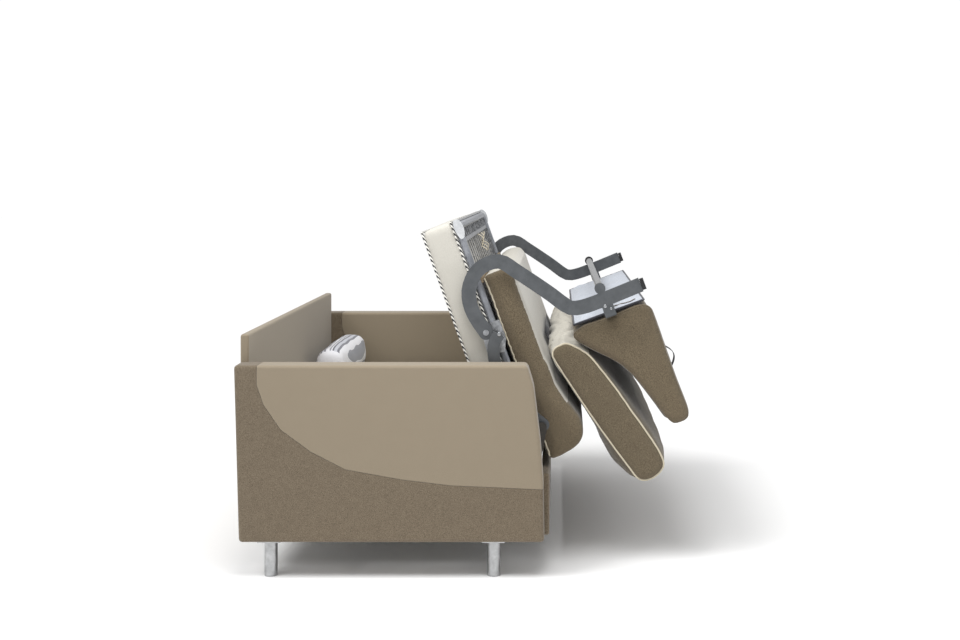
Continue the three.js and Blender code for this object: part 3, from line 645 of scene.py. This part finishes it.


# the cushion's cover takes the darker brown, which is painted shade
cushion.data.materials.append(brown_painted_shade)
cushion.data.materials.append(lining)
for face in cushion.data.polygons:
    if reach_along(np.array(face.center)) < REAR_END and abs(face.center.y) < 0.686:
        face.material_index = 1
puff(cushion, 0.005)
crease(cushion, (8, 5, 8), 0.003, 21.0)
points, normals = points_of(cushion), normals_of(cushion)
reach = reach_along(points)
across = points[:, 1]
inward = np.clip((SEAM_Y - np.abs(across)) / 0.16, 0, 1)
risen = np.sin(inward * math.pi / 2) * np.clip((reach - 240) / 120, 0, 1)
risen = risen * np.clip((575 - reach) / 60, 0.2, 1)
belly = np.clip(-(normals @ np.array(AWAY)), 0, 1) * np.clip((reach - 300) / 140, 0, 1)
belly = belly * np.clip((575 - reach) / 120, 0, 1)
points = points + normals * (risen * (DOME_RISE + BELLY_RISE * belly))[:, None]
across = points[:, 1]
depth = (points - home) @ through / (through @ through)
gather = np.clip(1 - np.abs(reach - 30) / 120, 0, 1)
gather = gather * np.clip((SEAM_Y - np.abs(across)) / 0.05, 0, 1)
folds = np.sin(across * 2 * math.pi / 0.05 + 3 * np.sin(across * 17)) * 0.0045
folds += np.sin(depth * 2 * math.pi / 42 + 5 * np.sin(across * 8)) * 0.0055
set_points(cushion, points + normals * (folds * gather)[:, None])
finish_soft(cushion, "cushion", "seat_cushion", brown_painted_shade)
cushion_line = [(u * CUSHION_LONG, v * CUSHION_THICK) for u, v in CUSHION_SHARES]
seams = [smoothed([cushion_place(u, v, y) for u, v in cushion_line]) for y in (-690, 690)]
seams = [pinned(seam, cushion, 0.001) for seam in seams]
tube("piping_cushion_side", seams, 0.0032, pipe_cream, "cushion", closed=True)
print("seat cushion covered and piped")

# %% [markdown]
# ## Backrest
#
# A wedge in brown cloth. The face that shows while the sofa is folding is its underside,
# closed by a loose dust cloth with a dark rim and crossed by an elastic strip.

# %% Cover the backrest
BACK_SHARES = [(0.042, 0.01), (0.007, 0.17), (0.002, 0.424), (0, 0.663), (0, 0.833)]
BACK_SHARES += [(0.014, 0.955), (0.052, 0.993), (0.203, 1), (0.649, 1), (0.939, 1)]
BACK_SHARES += [(0.976, 0.976), (1, 0.896), (0.995, 0.785), (0.974, 0.74), (0.939, 0.715)]
BACK_SHARES += [(0.8, 0.66), (0.623, 0.576), (0.528, 0.528), (0.417, 0.444), (0.335, 0.347)]
BACK_SHARES += [(0.248, 0.22), (0.191, 0.145), (0.1, 0.02)]
BACK_START = (475, 352)  # the a and h where the outline's shares begin
BACK_SIZE = (424, 288)
FLAT_FACE = 0.4725  # the cover stays behind this, so the dust cloth lies clear of it
back = soft_copy("backrest", "cloth_backrest", 0.009)
puff(back, 0.004)
crease(back, (7, 5, 7), 0.0026, 31.0)
points = points_of(back)
sunk = np.maximum(0, FLAT_FACE - (points - np.array(FOLD_ORIGIN)) @ np.array(ALONG))
set_points(back, points + sunk[:, None] * np.array(ALONG))
finish_soft(back, "back_unit", "backrest", brown)
back_line = [
    (BACK_START[0] + u * BACK_SIZE[0], BACK_START[1] + v * BACK_SIZE[1]) for u, v in BACK_SHARES
]
rims = [smoothed([fold(a, h, y) for a, h in back_line], 3) for y in (-694, 694)]
rims = [pinned(rim, back, 0.0003) for rim in rims]
tube("seam_backrest", rims, 0.0018, brown, "back_unit", closed=True)
print("backrest covered")


# %% Hang the dust cloth and its rim
def sheet_grid(name, corner, across, down, columns, rows, lift):
    """A cloth panel as a grid of points; lift moves each one outward, to its open side."""
    normal = down.cross(across).normalized()
    vertices, faces = [], []
    for j in range(rows + 1):
        for i in range(columns + 1):
            u, v = i / columns, j / rows
            vertices.append(corner + across * u + down * v + normal * lift(u, v))
    for j in range(rows):
        for i in range(columns):
            k = j * (columns + 1) + i
            faces.append((k, k + columns + 1, k + columns + 2, k + 1))
    mesh = bpy.data.meshes.new(name)
    mesh.from_pydata([tuple(v) for v in vertices], [], faces)
    for face in mesh.polygons:
        face.use_smooth = True
    return linked(mesh, name)


def dust_lift(u, v):
    """How far the dust cloth stands off: loose folds inside a sewn edge."""
    edge = min(1, min(u, 1 - u) * 30, min(v, 1 - v) * 7)
    folds = noise.noise(Vector((u * 16, v * 2.6, 2.0))) * 0.015
    fine = noise.noise(Vector((u * 52, v * 9, 5.0))) * 0.0045
    return (max(folds, 0.0) + abs(fine) + 0.0035) * edge


DUST_A, DUST_RING_A = 466, 468  # how far along the bed the cloth and its rim lie
DUST_LOW, DUST_HIGH, DUST_SIDE = 376, 624, 678
dust_panel = sheet_grid(
    "dust_cloth_panel",
    fold(DUST_A, DUST_LOW, -DUST_SIDE),
    ACROSS * 1.356,
    fold(DUST_A, DUST_HIGH) - fold(DUST_A, DUST_LOW),
    220,
    40,
    dust_lift,
)
dust_panel.data.materials.append(dust)
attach(dust_panel, "back_unit")
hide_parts("backrest_dust_cloth")
ring = [fold(DUST_RING_A, DUST_LOW, y) for y in range(-DUST_SIDE, DUST_SIDE + 1, 28)]
ring += [fold(DUST_RING_A, h, DUST_SIDE) for h in range(390, 625, 26)]
ring += [fold(DUST_RING_A, DUST_HIGH, y) for y in range(DUST_SIDE, -DUST_SIDE - 1, -28)]
ring += [fold(DUST_RING_A, h, -DUST_SIDE) for h in range(610, 376, -26)]
tube("piping_dust_cloth", [ring], 0.0042, pipe_dark, "back_unit", closed=True)
print("dust cloth hung")

# %% [markdown]
# ## Pillow
#
# A plump striped pillow lies behind the folded seat. Its stripes run along its length and
# its end is white.

# %% Blow up the pillow
pillow = soft_copy("pillow", "cloth_pillow", 0.006)
puff(pillow, 0.009)
crease(pillow, (16, 9, 16), 0.004, 41.0)
pillow.data.materials.append(pillow_cloth)
pillow.data.materials.append(pillow_end)
pillow_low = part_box("pillow")[0]
for face in pillow.data.polygons:
    if face.center.y < pillow_low.y + 0.02 and face.normal.y < -0.5:
        face.material_index = 1
finish_soft(pillow, "head_section", "pillow", pillow_cloth)
print("pillow blown up")


# %% [markdown]
# ## Straps and small hardware
#
# Small things that a quick stand-in leaves out: the straps left on the net, the pull strap,
# the webbing behind the cushion, the elastic strip on the dust cloth, and the rivets.


# %% Lay the straps
def ribbon(name, path, width, thickness, material, body, node=None):
    """A flat strap along a line of points, its width lying along the row's y."""
    side = ACROSS * (width / 2)
    vertices = []
    for p in path:
        vertices += [tuple(p - side), tuple(p + side)]
    faces = [(2 * i, 2 * i + 1, 2 * i + 3, 2 * i + 2) for i in range(len(path) - 1)]
    mesh = bpy.data.meshes.new(name)
    mesh.from_pydata(vertices, [], faces)
    for face in mesh.polygons:
        face.use_smooth = True
    thing = linked(mesh, name)
    mesh.materials.append(material)
    solid = thing.modifiers.new("thickness", "SOLIDIFY")
    solid.thickness = thickness
    solid.offset = 0
    apply_modifiers(thing)
    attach(thing, body)
    if node:
        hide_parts(node)


for k in range(3):
    y0 = -25 + 40 * k
    path = []
    for s in range(25):
        t = s / 24
        a = 84 + 72 * t
        h = 130 + (13 + 3 * k) * abs(math.sin(math.pi * (1.5 * t + 0.2 * k)))
        path.append(fold(a, h, y0 + 14 * math.sin(2 * math.pi * t + k)))
    node = "mattress_straps" if k == 0 else None
    name = f"loose_strap_{k}"
    ribbon(name, path, 0.036, 0.0018, strap_cloth, "folding_bed", node)

LOOP_START, LOOP_LONG, LOOP_RISE = 721, 114, 42
pull = []
for a in range(LOOP_START, 840, 6):
    rise = LOOP_RISE * math.sin(math.pi * (a - LOOP_START) / LOOP_LONG)
    pull.append(fold(a, 641.2 + rise))
ribbon("pull_strap_cloth", pull, 0.044, 0.0022, webbing, "back_unit", "pull_strap")
band = [fold(a, 259.2 + 1.2 * math.sin(a / 9)) for a in range(496, 552, 4)]
ribbon("hinge_webbing_cloth", band, 0.62, 0.002, webbing, "cushion", "cushion_webbing")
line = [fold(440, h, -640 + 9 * math.sin(h / 16)) for h in range(500, 606, 5)]
line = [place - ALONG * 0.002 for place in pinned(line, dust_panel)]
ribbon("elastic_strip", line, 0.007, 0.0014, elastic, "back_unit")
print("straps laid")


# %% Add the rivets
def dome(name, place, direction, radius, height, body):
    """A round zinc rivet head: a low dome on a collar."""
    shape = bmesh.new()
    rings, steps = 5, 20
    turns = [2 * math.pi * i / steps for i in range(steps)]
    levels = [(radius, 0)]
    for j in range(rings + 1):
        t = j / rings * math.pi / 2
        levels.append((radius * math.cos(t), height * (0.35 + 0.65 * math.sin(t))))
    rows = []
    for r, z in levels:
        if r > 1e-6:
            places = [(r * math.cos(turn), r * math.sin(turn), z) for turn in turns]
        else:
            places = [(0, 0, z)]
        rows.append([shape.verts.new(corner) for corner in places])
    for low, high in zip(rows[:-1], rows[1:]):
        for i in range(steps):
            j = (i + 1) % steps
            if len(high) == 1:
                shape.faces.new((low[i], low[j], high[0]))
            else:
                shape.faces.new((low[i], low[j], high[j], high[i]))
    mesh = bpy.data.meshes.new(name)
    shape.to_mesh(mesh)
    shape.free()
    for face in mesh.polygons:
        face.use_smooth = True
    thing = linked(mesh, name)
    thing.rotation_mode = "QUATERNION"
    thing.rotation_quaternion = Vector(direction).to_track_quat("Z", "Y")
    thing.location = place
    mesh.materials.append(zinc)
    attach(thing, body)


RIVETS = (  # a, h, y, radius and height in millimetres, and the body
    (438, 495, 740, 5.5, 2.2, "back_unit"),
    (452, 511, 740, 4, 2.2, "back_unit"),
    (404, 136, 755.6, 6.5, 3, "folding_bed"),
)
count = 0
for sign in (-1, 1):
    for a, h, y, radius, height, body in RIVETS:
        place = fold(a, h, sign * y)
        dome(f"rivet_{count}", place, (0, sign, 0), radius / 1000, height / 1000, body)
        count += 1
print("rivets:", count)

# %% [markdown]
# ## Floor and light
#
# A pale seamless floor, a sun from the upper left whose wide disc keeps its shadow soft, and
# a broad lamp overhead that reaches between the arms. The white surround is dimmer for the
# sofa than for the camera, so the shadow falls softly to the right as in the photograph.

# %% Set the floor and the lights
floor_mesh = bpy.data.meshes.new("floor")
floor_mesh.from_pydata([(-30, -12, 0), (30, -12, 0), (30, 40, 0), (-30, 40, 0)], [], [(0, 1, 2, 3)])
floor = linked(floor_mesh, "floor")
floor.location.z = -0.0005
floor_material, floor_tree, floor_shader = blank("pale_floor")
speck = add(floor_tree, "ShaderNodeTexNoise", Scale=3.0, Detail=2.0)
tone = mixed(floor_tree, speck.outputs["Fac"], linear("fbfbfb"), linear("ffffff"))
floor_tree.links.new(tone, floor_shader.inputs["Base Color"])
floor_shader.inputs["Roughness"].default_value = 0.9
floor_mesh.materials.append(floor_material)

world = bpy.data.worlds.new("white_room")
bpy.context.scene.world = world
world.use_nodes = True
room = world.node_tree
room.nodes["Background"].inputs["Color"].default_value = (1, 1, 1, 1)
ray = room.nodes.new("ShaderNodeLightPath")
seen_from_camera = add(room, "ShaderNodeMapRange", To_Min=0.66, To_Max=1.05)
room.links.new(ray.outputs["Is Camera Ray"], seen_from_camera.inputs["Value"])
room.links.new(seen_from_camera.outputs["Result"], room.nodes["Background"].inputs["Strength"])


def aimed(lamp, place, target):
    lamp.location = place
    lamp.rotation_mode = "QUATERNION"
    lamp.rotation_quaternion = (Vector(target) - Vector(place)).to_track_quat("-Z", "Y")


sun_data = bpy.data.lights.new("key", "SUN")
sun_data.energy = 1.55
sun_data.angle = math.radians(26)
aimed(linked(sun_data, "key"), (-2.2, -1.0, 3.2), (0, 0, 0))
fill_data = bpy.data.lights.new("fill", "AREA")
fill_data.size = 1.6
fill_data.energy = 42
aimed(linked(fill_data, "fill"), (0.1, -1.4, 2.7), (-0.3, 0.5, 0.5))
bpy.context.scene.view_settings.view_transform = "Standard"
print("floor and lights set")

# %% Close
bpy.context.view_layer.update()
